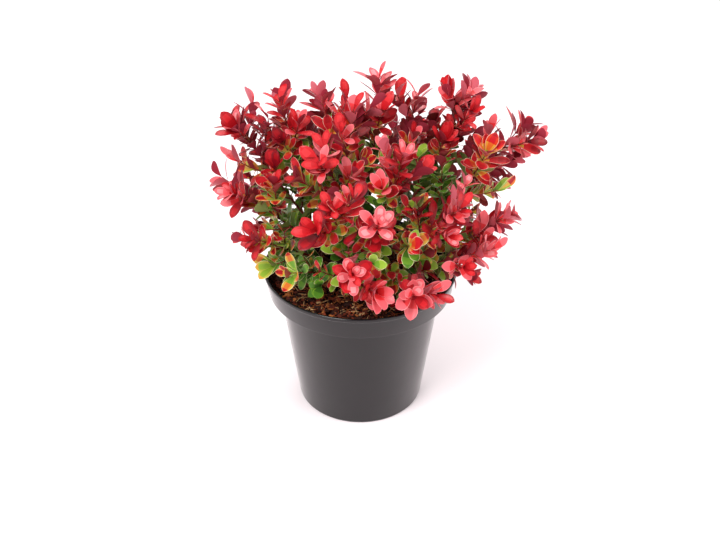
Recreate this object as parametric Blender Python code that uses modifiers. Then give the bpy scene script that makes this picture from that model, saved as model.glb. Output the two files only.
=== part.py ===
"""A small red-leaved barberry in a black nursery pot, standing on the flat underside of the pot.

Metres, +Z up. The origin is the middle of the pot's underside, and the side seen in the photograph faces
-Y. A wide root crown sits on the compost. One bough rises from it for each leading shoot, and each bough
ends where a mass of foliage begins: a three-sided stem, its side twigs and their leaves, fused into one
solid that keeps to its own space.
"""

from math import cos, radians, sin, tau
from random import Random

import bmesh
import bpy
from mathutils import Matrix, Quaternion, Vector
from mathutils.bvhtree import BVHTree
from mathutils.kdtree import KDTree

# The pot: a 3 litre nursery pot of 19 cm, with a wide collar round its top
POT_HEIGHT = 0.150
RIM_RADIUS = 0.095
RIM_THICKNESS = 0.0026
COLLAR_DEPTH = 0.024
COLLAR_FOOT_RADIUS = 0.0905
WALL_TOP_RADIUS = 0.0800
BASE_RADIUS = 0.0640
WALL_THICKNESS = 0.0015
FLOOR_THICKNESS = 0.0022
FOOT_BEVEL = 0.0015
POT_STEPS = 36
DRAIN_HOLES = 8
DRAIN_RADIUS = 0.0055
DRAIN_STEPS = 8
DRAIN_RING_RADIUS = 0.048
SHOULDER = POT_HEIGHT - COLLAR_DEPTH
INNER_SHOULDER = SHOULDER + WALL_THICKNESS

# Corners of the pot's inner side, as (radius, height)
INNER_LIP = (RIM_RADIUS - RIM_THICKNESS, POT_HEIGHT - RIM_THICKNESS / 2)
INNER_COLLAR_FOOT = (COLLAR_FOOT_RADIUS - WALL_THICKNESS, INNER_SHOULDER)
INNER_WALL_TOP = (WALL_TOP_RADIUS - WALL_THICKNESS, INNER_SHOULDER)
INNER_WALL_FOOT = (BASE_RADIUS - WALL_THICKNESS, FLOOR_THICKNESS)

# The compost that fills it
SOIL_BELOW_RIM = 0.015
SOIL_MOUND = 0.006

# Room between neighbours, and the distance under which points are one
CLEARANCE = 0.0004
MERGE = 0.00005

# The root crown that the boughs rise from: a dome on a flared foot
CROWN_FOOT = POT_HEIGHT - SOIL_BELOW_RIM + SOIL_MOUND + CLEARANCE
CROWN_RADIUS = 0.015
CROWN_DOME = 0.0104
CROWN_NECK = 0.0056
CROWN_FLARE = 0.020
CROWN_FLARE_EDGE = 0.0008
CROWN_FLARE_RISE = 0.0026
CROWN_STEPS = 16
HUB_HEIGHT = CROWN_FOOT + 0.0048

# Boughs and twigs
BOUGH_SHARES = {"inner": 0.38, "middle": 0.32, "outer": 0.25}
BOUGH_BASE_RADIUS = 0.0019
BOUGH_TIP_RADIUS = 0.0014
BOUGH_POINTS = 5
BOUGH_LIFT = 0.00135
STEM_POINTS = 4
TWIG_BASE_RADIUS = 0.0015
TWIG_TIP_RADIUS = 0.0008
TWIG_JOINT = 0.005
SIDE_TWIG_RADIUS = 0.0011
SIDE_TWIG_LENGTH = 0.034
SIDE_TWIG_SPREAD = radians(46)
SIDE_TWIG_LIFT = 0.5
SIDE_TWIG_LENGTHS = (0.75, 1.1)
SIDE_WHORL_PLACE = 0.55
TIP_LEAF_REACH = 0.016
BEND_PLACE = 0.45

# Leaves, a little larger than life because there are fewer of them
LEAF_LENGTH = 0.0275
LEAF_WIDTH = 0.0165
LEAF_WIDEST = 0.64
LEAF_TIP_SHARE = 0.45
LEAF_ROOT_DEPTH = 0.0004
LEAF_RIB = 0.0009
LEAF_RIB_PLACE = 0.42
LEAF_FREE_FROM = 0.30
LEAF_STAGGER = 0.0013
LEAF_ANGLE_TRIES = (0.0, 0.35, 0.6)
LEAF_SIZES = (0.88, 1.08)
LEAF_TURN_SCATTER = 0.25
LEAF_TILT_SCATTER = 0.14
SIDE_LEAF_SIZE = 0.92
WHORL_SPACING = 0.0155
WHORL_LEAVES = 4
WHORL_SPREAD_TOP = radians(44)
WHORL_SPREAD_FOOT = radians(62)
SIDE_WHORL_LEAVES = 3
TUFT_LEAVES = 4
TUFT_LEAF_SIZE = 0.84
TUFT_SPREAD = radians(28)
TUFT_INSET = 0.0012
GOLDEN_ANGLE = radians(137.5)
SEED = 1000

# How finely a shoot's line is sampled to find what is nearest to it, and how far past its end
LINE_STEPS = 60
LINE_OVERRUN = 1.12

# Each leading shoot, by the ring of the root crown that it rises from: azimuth and lean in degrees, and
# reach in metres. Azimuth 0 is +X and 90 is away from the viewer. Lean is from the vertical. Reach runs
# from the hub in the root crown to the tip of the last leaf.
INNER_SHOOTS = {
    "middle": (180, 2, 0.182),
    "top": (70, 16, 0.199),
    "top_right": (39, 23, 0.190),
    "front_upper": (-51, 23, 0.168),
    "left_middle": (-143, 16, 0.157),
    "back_top_left": (124, 23, 0.186),
}
MIDDLE_SHOOTS = {
    "right_top": (18, 31, 0.214),
    "far_right": (3, 45, 0.230),
    "front_right": (-43, 47, 0.170),
    "front_middle": (-80, 42, 0.146),
    "front_left": (-108, 36, 0.154),
    "left_side": (190, 49, 0.184),
    "left_top": (171, 37, 0.211),
    "left_upper": (158, 26, 0.202),
    "back_left": (130, 49, 0.172),
    "back_middle": (95, 44, 0.172),
    "back_right": (58, 49, 0.172),
}
OUTER_SHOOTS = {
    "right_side": (17, 57, 0.174),
    "right_low": (-12, 62, 0.174),
    "front_right_low": (-27, 67, 0.158),
    "front_right_rim": (-52, 77, 0.126),
    "front_low": (-94, 61, 0.127),
    "front_left_low": (-136, 70, 0.108),
    "left_low": (-152, 60, 0.140),
    "back_left_low": (152, 67, 0.146),
    "back_low": (97, 71, 0.140),
    "back_right_low": (46, 69, 0.146),
}
# How high on the root crown each ring of stems rises, as an angle from its top
RING_ANGLES = {"inner": 24, "middle": 50, "outer": 76}

COLOURS = {
    "pot": ("Glossy black plastic", (0.012, 0.011, 0.013), 0.12),
    "compost": ("Dark peat compost", (0.045, 0.014, 0.008), 0.95),
    "bark": ("Red-brown bark", (0.110, 0.035, 0.022), 0.70),
    "coral_leaf": ("Coral red leaf", (0.560, 0.028, 0.036), 0.45),
    "red_leaf": ("Dark red leaf", (0.330, 0.010, 0.016), 0.45),
    "green_leaf": ("Green leaf", (0.130, 0.140, 0.022), 0.50),
}


def clear_scene():
    for obj in list(bpy.data.objects):
        bpy.data.objects.remove(obj)


def collection(name):
    made = bpy.data.collections.new(name)
    bpy.context.scene.collection.children.link(made)
    return made


def material(key):
    name, colour, roughness = COLOURS[key]
    made = bpy.data.materials.get(name)
    if made is None:
        made = bpy.data.materials.new(name)
        made.use_nodes = True
        shader = made.node_tree.nodes["Principled BSDF"]
        shader.inputs["Base Color"].default_value = (*colour, 1.0)
        shader.inputs["Roughness"].default_value = roughness
        shader.inputs["Metallic"].default_value = 0.0
    return made


def place(name, data, home, finish=None):
    obj = bpy.data.objects.new(name, data)
    home.objects.link(obj)
    if finish:
        data.materials.append(material(finish))
    return obj


def turned(name, profile, steps, home, finish):
    """A solid of revolution. Its profile is (radius, height) pairs that run down its outer side."""
    mesh = bpy.data.meshes.new(name)
    points = [(radius, 0.0, height) for radius, height in profile]
    edges = [(i, i + 1) for i in range(len(points) - 1)]
    mesh.from_pydata(points, edges, [])
    obj = place(name, mesh, home, finish)
    screw = obj.modifiers.new("Turn", "SCREW")
    screw.axis = "Z"
    screw.steps = screw.render_steps = steps
    screw.use_merge_vertices = True
    screw.merge_threshold = MERGE
    screw.use_smooth_shade = True
    return obj


def evaluated_mesh(obj):
    """The object's mesh with its modifiers, in world space."""
    bpy.context.view_layer.update()
    graph = bpy.context.evaluated_depsgraph_get()
    mesh = bpy.data.meshes.new_from_object(obj.evaluated_get(graph))
    mesh.transform(obj.matrix_world)
    return mesh


# The pot and its drain holes


def pot_inner_radius(height):
    """Radius of the pot's inner side at a height above its underside."""
    low, high = (INNER_WALL_FOOT, INNER_WALL_TOP)
    if height > INNER_SHOULDER:
        low, high = (INNER_COLLAR_FOOT, INNER_LIP)
    share = (height - low[1]) / (high[1] - low[1])
    return low[0] + (high[0] - low[0]) * share


def make_pot(home, cutters):
    profile = [
        (0.0, FLOOR_THICKNESS),
        INNER_WALL_FOOT,
        INNER_WALL_TOP,
        INNER_COLLAR_FOOT,
        INNER_LIP,
        (RIM_RADIUS - RIM_THICKNESS / 2, POT_HEIGHT),
        (RIM_RADIUS, POT_HEIGHT - RIM_THICKNESS / 2),
        (COLLAR_FOOT_RADIUS, SHOULDER),
        (WALL_TOP_RADIUS, SHOULDER),
        (BASE_RADIUS, FOOT_BEVEL),
        (BASE_RADIUS - FOOT_BEVEL, 0.0),
        (0.0, 0.0),
    ]
    pot = turned("pot", profile, POT_STEPS, home, "pot")
    for i in range(DRAIN_HOLES):
        angle = tau * (i + 0.5) / DRAIN_HOLES
        mesh = bpy.data.meshes.new("drain")
        shape = bmesh.new()
        bmesh.ops.create_cone(
            shape,
            cap_ends=True,
            segments=DRAIN_STEPS,
            radius1=DRAIN_RADIUS,
            radius2=DRAIN_RADIUS,
            depth=FLOOR_THICKNESS * 4,
        )
        shape.to_mesh(mesh)
        shape.free()
        hole = place(f"drain_cutter_{i}", mesh, cutters)
        hole.location = (DRAIN_RING_RADIUS * cos(angle), DRAIN_RING_RADIUS * sin(angle), 0.0)
        hole.hide_render = True
        hole.display_type = "WIRE"
    cut = pot.modifiers.new("Drain holes", "BOOLEAN")
    cut.operation = "DIFFERENCE"
    cut.operand_type = "COLLECTION"
    cut.collection = cutters
    return pot


# The compost


def soil_height(radius):
    """Height of the compost's surface above the pot's underside, at a distance from the axis."""
    edge = POT_HEIGHT - SOIL_BELOW_RIM
    share = min(radius / (RIM_RADIUS - WALL_THICKNESS), 1.0)
    return edge + SOIL_MOUND * (1 - share**2)


def make_compost(home):
    floor = FLOOR_THICKNESS + CLEARANCE
    edge_height = POT_HEIGHT - SOIL_BELOW_RIM
    edge = pot_inner_radius(edge_height) - CLEARANCE
    profile = [(edge * share, soil_height(edge * share)) for share in (0.0, 0.4, 0.75)]
    profile += [
        (edge, edge_height),
        (INNER_COLLAR_FOOT[0] - CLEARANCE, INNER_SHOULDER + CLEARANCE),
        (INNER_WALL_TOP[0] - CLEARANCE, INNER_SHOULDER + CLEARANCE),
        (pot_inner_radius(floor) - CLEARANCE, floor),
        (0.0, floor),
    ]
    return turned("compost", profile, POT_STEPS, home, "compost")


# The root crown: flared where it meets the compost, domed where the stems rise


def dome_point(angle):
    """(radius, height) on the dome of the root crown, at an angle from its top."""
    return CROWN_RADIUS * sin(angle), CROWN_FOOT + CROWN_NECK + CROWN_DOME * cos(angle)


def make_crown(home):
    profile = [dome_point(radians(angle)) for angle in (0, 30, 60, 90)]
    profile += [
        (CROWN_RADIUS, CROWN_FOOT + CROWN_FLARE_RISE),
        (CROWN_FLARE, CROWN_FOOT + CROWN_FLARE_EDGE),
        (CROWN_FLARE, CROWN_FOOT),
        (0.0, CROWN_FOOT),
    ]
    return turned("root_crown", profile, CROWN_STEPS, home, "bark")


# Shoots: each is one smooth line from the root crown to its tip


def perpendicular(axis, angle):
    """A unit vector square to the axis, turned round it by an angle."""
    base = axis.cross(Vector((0.31, 0.17, 0.93))).normalized()
    return Quaternion(axis, angle) @ base


def walk(points, distance):
    """The point at a distance along a line of points, and the direction of the line there."""
    for a, b in zip(points, points[1:]):
        step = (b - a).length
        if distance <= step:
            break
        distance -= step
    direction = (b - a).normalized()
    return a + direction * min(distance, step), direction


def line_length(points):
    return sum((b - a).length for a, b in zip(points, points[1:]))


def tapered(base, tip, count):
    return [base + (tip - base) * i / (count - 1) for i in range(count)]


def arc(start, bend, end, t):
    return start * (1 - t) ** 2 + bend * 2 * t * (1 - t) + end * t**2


def even_starts(shoots):
    """An azimuth on the root crown for each shoot of a ring: in order, evenly spaced, turned to suit them."""
    order = sorted(shoots, key=lambda name: shoots[name][0] % 360)
    step = tau / len(order)
    offsets = [radians(shoots[name][0] % 360) - i * step for i, name in enumerate(order)]
    turn = sum(offsets) / len(offsets)
    return {name: turn + i * step for i, name in enumerate(order)}


def lay_out_shoots():
    """Name to (start, bend, end) for every shoot, and name to the share of it that is a bare bough."""
    hub = Vector((0.0, 0.0, HUB_HEIGHT))
    lines, bare = {}, {}
    rings = (("inner", INNER_SHOOTS), ("middle", MIDDLE_SHOOTS), ("outer", OUTER_SHOOTS))
    for ring, shoots in rings:
        starts = even_starts(shoots)
        rise = radians(RING_ANGLES[ring])
        radius, height = dome_point(rise)
        for name, (azimuth, lean, reach) in shoots.items():
            outward = Vector((cos(starts[name]), sin(starts[name]), 0.0))
            normal = outward * sin(rise) + Vector((0, 0, cos(rise)))
            start = outward * radius + Vector((0, 0, height)) + normal * BOUGH_LIFT
            a, tilt = radians(azimuth), radians(lean)
            aim = Vector((cos(a) * sin(tilt), sin(a) * sin(tilt), cos(tilt)))
            end = hub + aim * (reach - TIP_LEAF_REACH)
            leave = (normal + aim).normalized()
            bend = start + leave * (end - start).length * BEND_PLACE
            lines[name] = (start, bend, end)
            bare[name] = BOUGH_SHARES[ring]
    return lines, bare


def limb(name, points, radii, home, finish, section=None):
    """A tapering limb along points: round, or with the section of a flat curve."""
    curve = bpy.data.curves.new(name, "CURVE")
    curve.dimensions = "3D"
    curve.use_fill_caps = True
    widest = max(radii)
    if section:
        curve.bevel_mode = "OBJECT"
        curve.bevel_object = section
        widest = 1.0
    else:
        curve.bevel_depth = widest
        curve.bevel_resolution = 1
    line = curve.splines.new("POLY")
    line.points.add(len(points) - 1)
    for point, place_at, radius in zip(line.points, points, radii):
        point.co = (*place_at, 1.0)
        point.radius = radius / widest
    return place(name, curve, home, finish)


def make_section(helpers):
    """A triangle of radius 1, the section of every twig."""
    curve = bpy.data.curves.new("twig_section", "CURVE")
    curve.dimensions = "2D"
    curve.fill_mode = "NONE"
    line = curve.splines.new("POLY")
    line.points.add(2)
    for i, point in enumerate(line.points):
        point.co = (cos(tau * i / 3), sin(tau * i / 3), 0.0, 1.0)
    line.use_cyclic_u = True
    obj = place("twig_section", curve, helpers)
    obj.hide_render = True
    obj.display_type = "WIRE"
    return obj


def make_bough(name, line, bare, home):
    points = [arc(*line, bare * i / (BOUGH_POINTS - 1)) for i in range(BOUGH_POINTS)]
    radii = tapered(BOUGH_BASE_RADIUS, BOUGH_TIP_RADIUS, BOUGH_POINTS)
    return limb(f"bough_{name}", points, radii, home, "bark")


# A leaf: an obovate blade with a root set in the twig and a raised rib


def leaf_points(length, width):
    """The corners of a leaf that lies along +Y with its upper side to +Z."""
    half = width / 2
    points = [
        (0, -LEAF_ROOT_DEPTH, 0),
        (-half, length * LEAF_WIDEST, 0),
        (half, length * LEAF_WIDEST, 0),
        (-half * LEAF_TIP_SHARE, length, 0),
        (half * LEAF_TIP_SHARE, length, 0),
        (0, length * LEAF_RIB_PLACE, LEAF_RIB),
    ]
    return [Vector(p) for p in points]


def outer_leaf_points(length, width):
    """A box shape round the leaf with some room on all sides, without the stretch by its root."""
    half = width / 2 + CLEARANCE
    near, far = length * LEAF_FREE_FROM, length + CLEARANCE
    neck = half * LEAF_FREE_FROM / LEAF_WIDEST
    outline = [
        (-neck, near),
        (neck, near),
        (half, length * LEAF_WIDEST),
        (half * LEAF_TIP_SHARE, far),
        (-half * LEAF_TIP_SHARE, far),
        (-half, length * LEAF_WIDEST),
    ]
    return [Vector((x, y, z)) for x, y in outline for z in (-CLEARANCE, LEAF_RIB + CLEARANCE)]


def leaf_frame(root, along, up):
    """The matrix that carries a leaf from its own axes to the plant."""
    side = along.cross(up).normalized()
    turn = Matrix((side, along, side.cross(along))).transposed().to_4x4()
    return Matrix.Translation(root) @ turn


def hull(points):
    """The convex solid round some points, as an open bmesh."""
    shape = bmesh.new()
    for point in points:
        shape.verts.new(point)
    bmesh.ops.convex_hull(shape, input=shape.verts)
    bmesh.ops.recalc_face_normals(shape, faces=shape.faces)
    return shape


def hull_tree(points):
    shape = hull(points)
    tree = BVHTree.FromBMesh(shape)
    shape.free()
    return tree


def segment_tree(a, b, radius):
    """A square bar between two points."""
    direction = (b - a).normalized()
    corners = [perpendicular(direction, tau * i / 4) * radius for i in range(4)]
    return hull_tree([end + corner for end in (a, b) for corner in corners])


class Space:
    """What a mass of foliage may fill: nearer to its own shoot than to any other, and clear of every limb."""

    def __init__(self, lines, obstacles):
        self.lines = lines
        self.obstacles = obstacles
        self.own = {name: self.tree_of([name]) for name in lines}
        self.others = {name: self.tree_of([other for other in lines if other != name]) for name in lines}

    def tree_of(self, names):
        points = []
        for name in names:
            points += [arc(*self.lines[name], LINE_OVERRUN * i / LINE_STEPS) for i in range(LINE_STEPS + 1)]
        tree = KDTree(len(points))
        for i, point in enumerate(points):
            tree.insert(point, i)
        tree.balance()
        return tree

    def holds(self, name, points):
        """True if all the points lie in the shoot's own space, with some room to spare."""
        own, others = self.own[name], self.others[name]
        return all(own.find(p)[2] + 2 * CLEARANCE < others.find(p)[2] for p in points)

    def free(self, swollen):
        return not any(tree.overlap(swollen) for tree in self.obstacles)


def edge_points(points):
    """The corners of a leaf's blade and the middles of its edges."""
    root, left, right, left_tip, right_tip, _ = points
    corners = [root, left, left_tip, right_tip, right, root]
    return [*corners[1:-1], *((a + b) / 2 for a, b in zip(corners, corners[1:]))]


class Mass:
    """The twigs and leaves of one mass of foliage while it grows."""

    def __init__(self, name, space, chance):
        self.name = name
        self.space = space
        self.chance = chance
        self.twigs = []
        self.leaves = []
        self.taken = []

    def fits(self, tree):
        return self.space.free(tree) and not any(other.overlap(tree) for other in self.taken)

    def add_twig(self, points, base_radius):
        """Adds a twig and keeps its place free, but for the stretch by its root where it joins another."""
        radii = tapered(base_radius, TWIG_TIP_RADIUS, len(points))
        self.twigs.append((points, radii))
        root, _ = walk(points, TWIG_JOINT)
        for a, b, radius in zip([root, *points[1:]], points[1:], radii):
            self.taken.append(segment_tree(a, b, radius + CLEARANCE))

    def add_side_twig(self, stem, distance, turn):
        """Adds a side twig that curves up from a point of the stem, where there is room for it."""
        root, axis = walk(stem, distance)
        outward = perpendicular(axis, turn)
        direction = axis * cos(SIDE_TWIG_SPREAD) + outward * sin(SIDE_TWIG_SPREAD)
        length = SIDE_TWIG_LENGTH * self.chance.uniform(*SIDE_TWIG_LENGTHS)
        middle = root + direction * length / 2
        end = middle + (direction + Vector((0, 0, SIDE_TWIG_LIFT))).normalized() * length / 2
        past, _ = walk([root, middle], TWIG_JOINT)
        room = segment_tree(past, middle, SIDE_TWIG_RADIUS + CLEARANCE)
        if self.space.holds(self.name, [middle, end]) and self.fits(room):
            self.add_twig([root, middle, end], SIDE_TWIG_RADIUS)

    def add_leaf(self, root, aim, axis, size):
        """Adds a leaf where it fits: at its own angle to the twig, or closer to it, or not at all."""
        length, width = LEAF_LENGTH * size, LEAF_WIDTH * size
        for closer in LEAF_ANGLE_TRIES:
            along = aim.lerp(axis, closer).normalized()
            frame = leaf_frame(root, along, axis)
            corners = [frame @ p for p in leaf_points(length, width)]
            if not self.space.holds(self.name, edge_points(corners)):
                continue
            tree = hull_tree([frame @ p for p in outer_leaf_points(length, width)])
            if self.fits(tree):
                self.taken.append(tree)
                self.leaves.append(corners)
                return

    def add_whorl(self, points, distance, count, spread, turn, size):
        """Leaves all round a twig, each rooted a little further along it than the last."""
        for i in range(count):
            root, axis = walk(points, distance - i * LEAF_STAGGER)
            angle = turn + tau * i / count + self.chance.uniform(-LEAF_TURN_SCATTER, LEAF_TURN_SCATTER)
            tilt = spread + self.chance.uniform(-LEAF_TILT_SCATTER, LEAF_TILT_SCATTER)
            aim = axis * cos(tilt) + perpendicular(axis, angle) * sin(tilt)
            self.add_leaf(root, aim, axis, size * self.chance.uniform(*LEAF_SIZES))

    def add_tuft(self, points, turn):
        """The upright leaves at the end of a twig."""
        end = line_length(points) - TUFT_INSET
        self.add_whorl(points, end, TUFT_LEAVES, TUFT_SPREAD, turn, TUFT_LEAF_SIZE)

    def grow(self, stem):
        """The stem's tuft, its side twigs and theirs, then the whorls, from the tips inwards."""
        self.add_twig(stem, TWIG_BASE_RADIUS)
        length = line_length(stem)
        turn = self.chance.uniform(0, tau)
        self.add_tuft(stem, turn)
        whorls = round((length - TUFT_INSET) / WHORL_SPACING)
        distances = [length - TUFT_INSET - length * i / whorls for i in range(1, whorls)]
        for i, distance in enumerate(distances[1::2], 1):
            self.add_side_twig(stem, distance - WHORL_SPACING / 2, turn + i * GOLDEN_ANGLE)
        side_twigs = [points for points, _ in self.twigs[1:]]
        for points in side_twigs:
            self.add_tuft(points, turn)
        for i, distance in enumerate(distances):
            spread = WHORL_SPREAD_TOP + (WHORL_SPREAD_FOOT - WHORL_SPREAD_TOP) * i / len(distances)
            self.add_whorl(stem, distance, WHORL_LEAVES, spread, turn + (i + 1) * GOLDEN_ANGLE, 1.0)
        for points in side_twigs:
            middle = line_length(points) * SIDE_WHORL_PLACE
            self.add_whorl(points, middle, SIDE_WHORL_LEAVES, WHORL_SPREAD_FOOT, turn, SIDE_LEAF_SIZE)


def make_mass(name, number, line, bare, space, home, section):
    """One mass of foliage. Its stem goes on from the bough's tip, a small gap clear of it."""
    mass = Mass(name, space, Random(SEED + number))
    first = bare + CLEARANCE / line_length([arc(*line, i / LINE_STEPS) for i in range(LINE_STEPS + 1)])
    mass.grow([arc(*line, first + (1 - first) * i / (STEM_POINTS - 1)) for i in range(STEM_POINTS)])
    return fuse(mass, home, section)


def twig_mesh(points, radii, home, section):
    """A three-sided twig as a closed mesh, with its caps welded on."""
    curve = limb("twig", points, radii, home, "bark", section)
    mesh = evaluated_mesh(curve)
    bpy.data.objects.remove(curve)
    shape = bmesh.new()
    shape.from_mesh(mesh)
    bmesh.ops.remove_doubles(shape, verts=shape.verts, dist=MERGE / 10)
    bmesh.ops.recalc_face_normals(shape, faces=shape.faces)
    shape.to_mesh(mesh)
    shape.free()
    mesh.materials.clear()
    return mesh


def fuse(mass, home, section):
    """The stem of a mass, with its side twigs and leaves joined on by one Boolean union."""
    joined = collection("joined")
    stem, *side_twigs = mass.twigs
    body = place(f"foliage_{mass.name}", twig_mesh(*stem, home, section), home, finish_for(mass.name))
    for points, radii in side_twigs:
        place("twig_solid", twig_mesh(points, radii, home, section), joined)
    for corners in mass.leaves:
        shape = hull(corners)
        leaf = bpy.data.meshes.new("leaf")
        shape.to_mesh(leaf)
        shape.free()
        place("leaf_solid", leaf, joined)
    union = body.modifiers.new("Join", "BOOLEAN")
    union.operation = "UNION"
    union.operand_type = "COLLECTION"
    union.collection = joined
    whole = evaluated_mesh(body)
    body.modifiers.clear()
    body.data = whole
    keep_outer_body(whole)
    for obj in list(joined.objects):
        bpy.data.objects.remove(obj)
    bpy.data.collections.remove(joined)
    return body


def connected_faces(start, left):
    """The faces joined to a face across edges. They are taken out of the faces left."""
    found, front = {start}, [start]
    while front:
        near = {other for edge in front.pop().edges for other in edge.link_faces} & left
        left -= near
        found |= near
        front += near
    return found


def keep_outer_body(mesh):
    """Drops all but the largest connected body: loose scraps, and the walls of hollows sealed inside it."""
    shape = bmesh.new()
    shape.from_mesh(mesh)
    left = set(shape.faces)
    bodies = []
    while left:
        bodies.append(connected_faces(left.pop(), left))
    bodies.sort(key=len)
    for scrap in bodies[:-1]:
        bmesh.ops.delete(shape, geom=list(scrap), context="FACES")
    shape.to_mesh(mesh)
    shape.free()


def finish_for(name):
    """The leaf colour of a mass: coral at the top, dark red round the sides, green low down."""
    if name in INNER_SHOOTS:
        return "coral_leaf"
    if name in MIDDLE_SHOOTS:
        return "red_leaf"
    return "green_leaf"


def tree_of_object(obj):
    shape = bmesh.new()
    mesh = evaluated_mesh(obj)
    shape.from_mesh(mesh)
    tree = BVHTree.FromBMesh(shape)
    shape.free()
    bpy.data.meshes.remove(mesh)
    return tree


def main():
    clear_scene()
    home = collection("Potted barberry")
    drain_cutters = collection("Drain cutters")
    section = make_section(collection("Helpers"))
    limbs = [make_pot(home, drain_cutters), make_compost(home), make_crown(home)]
    lines, bare = lay_out_shoots()
    limbs += [make_bough(name, line, bare[name], home) for name, line in lines.items()]
    space = Space(lines, [tree_of_object(obj) for obj in limbs])
    for number, (name, line) in enumerate(lines.items()):
        make_mass(name, number, line, bare[name], space, home, section)


main()
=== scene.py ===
"""The looks of a small red-leaved barberry in a black nursery pot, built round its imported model.

Metres, +Z up, in the model's own frame. The sections follow the plant as it is put together: the pot, the
compost, the woody foot, the shoots that rise from it, their thorns and their leaves, and then the studio.
"""

from math import cos, pi, radians, sin, sqrt, tau
from random import Random

import bmesh
import bpy
import numpy as np
from mathutils import Matrix, Quaternion, Vector, noise
from mathutils.kdtree import KDTree


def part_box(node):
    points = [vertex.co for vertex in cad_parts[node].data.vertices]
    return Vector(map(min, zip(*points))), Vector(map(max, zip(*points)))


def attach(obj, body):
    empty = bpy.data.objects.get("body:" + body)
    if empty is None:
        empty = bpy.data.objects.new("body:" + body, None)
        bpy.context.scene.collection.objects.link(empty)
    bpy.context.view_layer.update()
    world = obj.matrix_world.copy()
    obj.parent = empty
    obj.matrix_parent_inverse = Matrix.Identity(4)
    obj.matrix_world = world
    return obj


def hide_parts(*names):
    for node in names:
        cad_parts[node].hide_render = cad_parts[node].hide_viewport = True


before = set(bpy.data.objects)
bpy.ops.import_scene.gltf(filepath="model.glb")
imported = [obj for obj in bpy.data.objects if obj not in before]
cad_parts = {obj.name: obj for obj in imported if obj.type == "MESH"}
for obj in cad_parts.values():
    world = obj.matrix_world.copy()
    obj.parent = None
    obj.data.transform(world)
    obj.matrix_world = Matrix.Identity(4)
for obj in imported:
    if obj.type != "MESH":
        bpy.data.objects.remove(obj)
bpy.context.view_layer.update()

# Nursery pot
# A round 3 litre container, injection moulded in one piece of black polypropylene: a thin tapered wall, a
# wide collar with a rounded lip that it is lifted by, and drain holes in the base. It stands on the base.

pot_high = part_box("pot")[1]
pot_height = pot_high.z
rim_radius = pot_high.x
collar_depth = 0.024
collar_foot_radius = 0.0905
wall_top_radius = 0.0800
base_radius = 0.0640
wall_thickness = 0.0015
lip_thickness = 0.0026
lip_rounding = lip_thickness * 0.48
lip_depth = 0.0040
# Under the rim and in from it: the lip's lower edge, and the collar's upper one
lip_edge_drop, lip_edge_inset = 0.0034, 0.0002
collar_edge_drop, collar_edge_inset = 0.0042, 0.0011
floor_thickness = 0.0022
pot_steps = 160
pot_sharp_angle = radians(40)
drain_holes = 8
drain_sides = 24
drain_radius = 0.0055
drain_ring_radius = 0.048
pot_black = "#080407"
pot_scuff = "#191318"
pot_ior = 1.49
clean_roughness, rubbed_roughness = 0.07, 0.24
# Pattern scales, in repeats to the metre: rubbed marks 11 mm across, waves in the wall 36 mm and grain 1.1 mm
rub_scale, wave_scale, pot_grain_scale = 90.0, 28.0, 900.0


def hex_colour(text):
    """An sRGB hex value as the linear colour that a shader takes."""
    parts = [int(text[i : i + 2], 16) / 255 for i in (1, 3, 5)]
    return (*(c / 12.92 if c <= 0.04045 else ((c + 0.055) / 1.055) ** 2.4 for c in parts), 1.0)


def add_node(tree, kind, inputs=None, **settings):
    """A node with its settings. An input is a value, or the output socket that it is linked from."""
    made = tree.nodes.new(kind)
    for name, value in settings.items():
        setattr(made, name, value)
    for name, value in (inputs or {}).items():
        if isinstance(value, bpy.types.NodeSocket):
            tree.links.new(value, made.inputs[name])
        else:
            made.inputs[name].default_value = value
    return made


def new_material(name, colour, roughness, ior):
    """A material with its Principled shader, and its texture coordinates in metres."""
    made = bpy.data.materials.new(name)
    made.use_nodes = True
    tree = made.node_tree
    shader = tree.nodes["Principled BSDF"]
    shader.inputs["Base Color"].default_value = hex_colour(colour)
    shader.inputs["Roughness"].default_value = roughness
    shader.inputs["IOR"].default_value = ior
    place = add_node(tree, "ShaderNodeTexCoord").outputs["Object"]
    return made, tree, shader, place


def link_mesh(name, mesh, materials):
    """An object for a mesh, in the scene, with its materials."""
    made = bpy.data.objects.new(name, mesh)
    bpy.context.scene.collection.objects.link(made)
    for material in materials:
        mesh.materials.append(material)
    return made


def turned_mesh(name, profile, steps):
    """A turned shape as a mesh. Its profile is (radius, height) pairs that run down its outer side."""
    line = bpy.data.meshes.new(name)
    line.from_pydata([(r, 0, z) for r, z in profile], [(i, i + 1) for i in range(len(profile) - 1)], [])
    turned = link_mesh(name, line, [])
    screw = turned.modifiers.new("Turn", "SCREW")
    screw.steps = screw.render_steps = steps
    screw.use_merge_vertices = True
    screw.merge_threshold = 0.00001
    bpy.context.view_layer.update()
    mesh = bpy.data.meshes.new_from_object(turned.evaluated_get(bpy.context.evaluated_depsgraph_get()))
    bpy.data.objects.remove(turned)
    return mesh


def rounded(corner, before, after, radius, steps=4):
    """Points that round off the corner of a profile between its neighbours."""
    corner, before, after = Vector(corner), Vector(before), Vector(after)
    first = corner + (before - corner).normalized() * radius
    last = corner + (after - corner).normalized() * radius
    shares = [i / steps for i in range(steps + 1)]
    return [tuple(first * (1 - t) ** 2 + corner * 2 * t * (1 - t) + last * t**2) for t in shares]


def rounded_profile(corners):
    """A profile from (radius, height, rounding) corners. The first and last stay where they are."""
    points = [corners[0][:2]]
    for before, corner, after in zip(corners, corners[1:], corners[2:]):
        points += rounded(corner[:2], before[:2], after[:2], corner[2]) if corner[2] else [corner[:2]]
    return [*points, corners[-1][:2]]


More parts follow.
